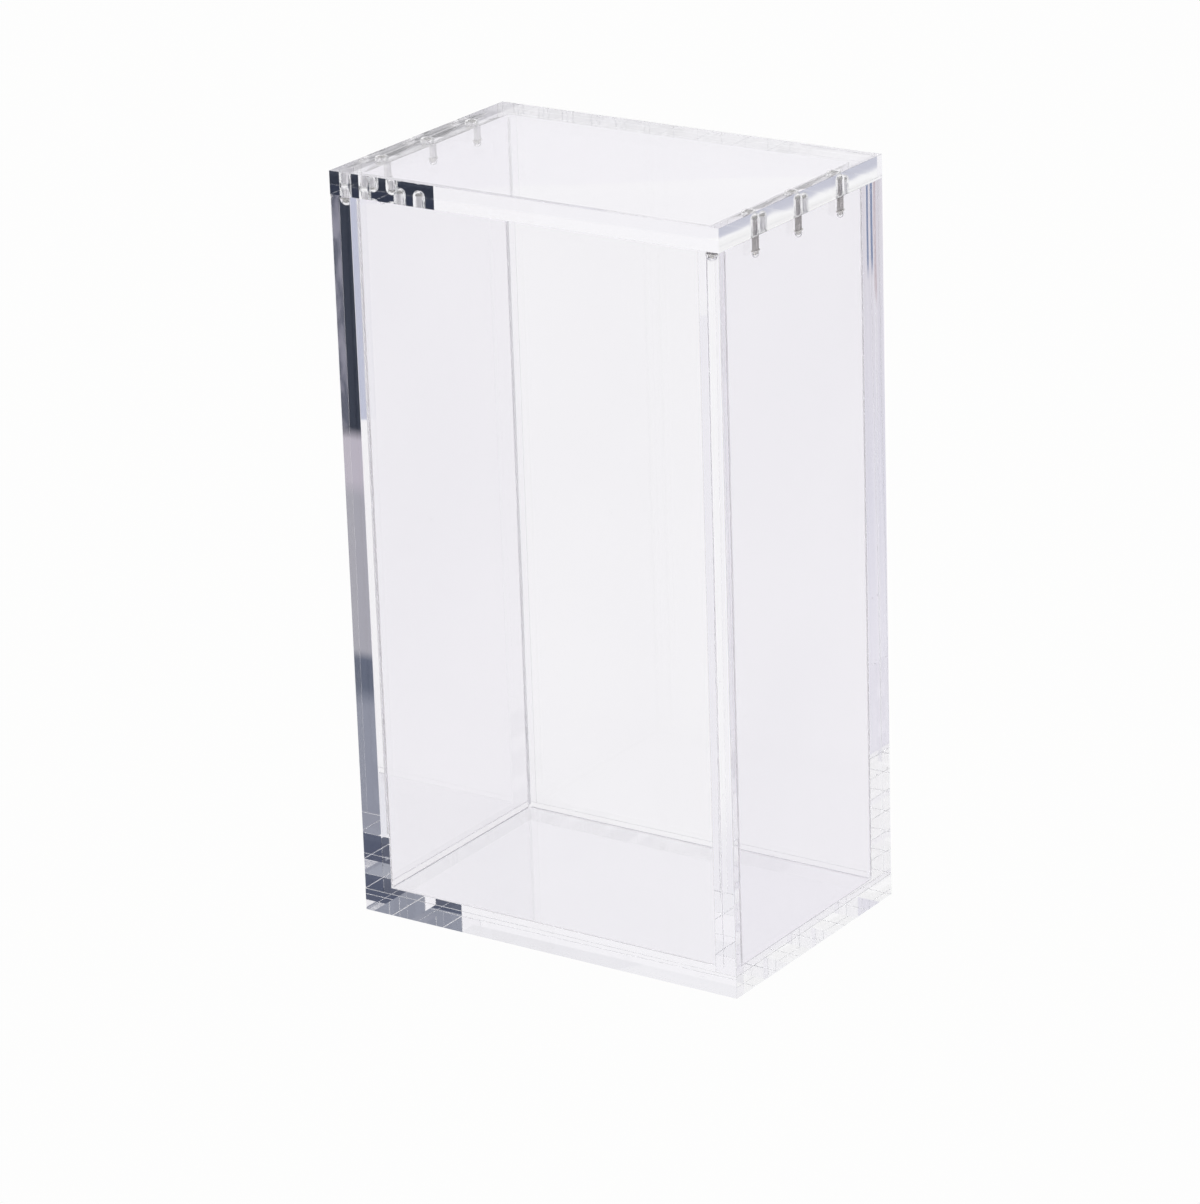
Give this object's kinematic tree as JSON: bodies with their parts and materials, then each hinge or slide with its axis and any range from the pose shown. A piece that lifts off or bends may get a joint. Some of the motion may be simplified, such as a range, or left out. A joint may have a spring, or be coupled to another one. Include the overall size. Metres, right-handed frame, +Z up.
{
  "type": "acrylic display case",
  "caption": "Clear acrylic box of welded plates with a flat, flush lift-off lid held by small rod magnets, for showing a boxed collectable stood on end.",
  "frame": {"origin": "centre of the base plate's underside, on the surface the case stands on", "axes": "+Z up through the lid, +X to the right seen from the front, the front panel faces -Y"},
  "size_m": [0.086, 0.057, 0.15],
  "materials": {
    "clear_acrylic": "polished",
    "nickel_plate": "satin",
    "cured_adhesive": "satin"
  },
  "bodies": {
    "case": {"base_plate": "clear_acrylic", "left_wall": "clear_acrylic", "right_wall": "clear_acrylic", "front_panel": "clear_acrylic", "back_panel": "clear_acrylic", "wall_magnet_left_front": "nickel_plate", "wall_magnet_left_middle": "nickel_plate", "wall_magnet_left_rear": "nickel_plate", "wall_magnet_right_front": "nickel_plate", "wall_magnet_right_middle": "nickel_plate", "wall_magnet_right_rear": "nickel_plate", "wall_adhesive_beads": "cured_adhesive"},
    "lid": {"lid_plate": "clear_acrylic", "lid_magnet_left_front": "nickel_plate", "lid_magnet_left_middle": "nickel_plate", "lid_magnet_left_rear": "nickel_plate", "lid_magnet_right_front": "nickel_plate", "lid_magnet_right_middle": "nickel_plate", "lid_magnet_right_rear": "nickel_plate", "lid_adhesive_beads": "cured_adhesive"}
  },
  "joints": [
    {"name": "lid_lift", "type": "slide", "parent": "case", "child": "lid", "axis": [0, 0, 1], "range_m": [0, 0.16]}
  ]
}
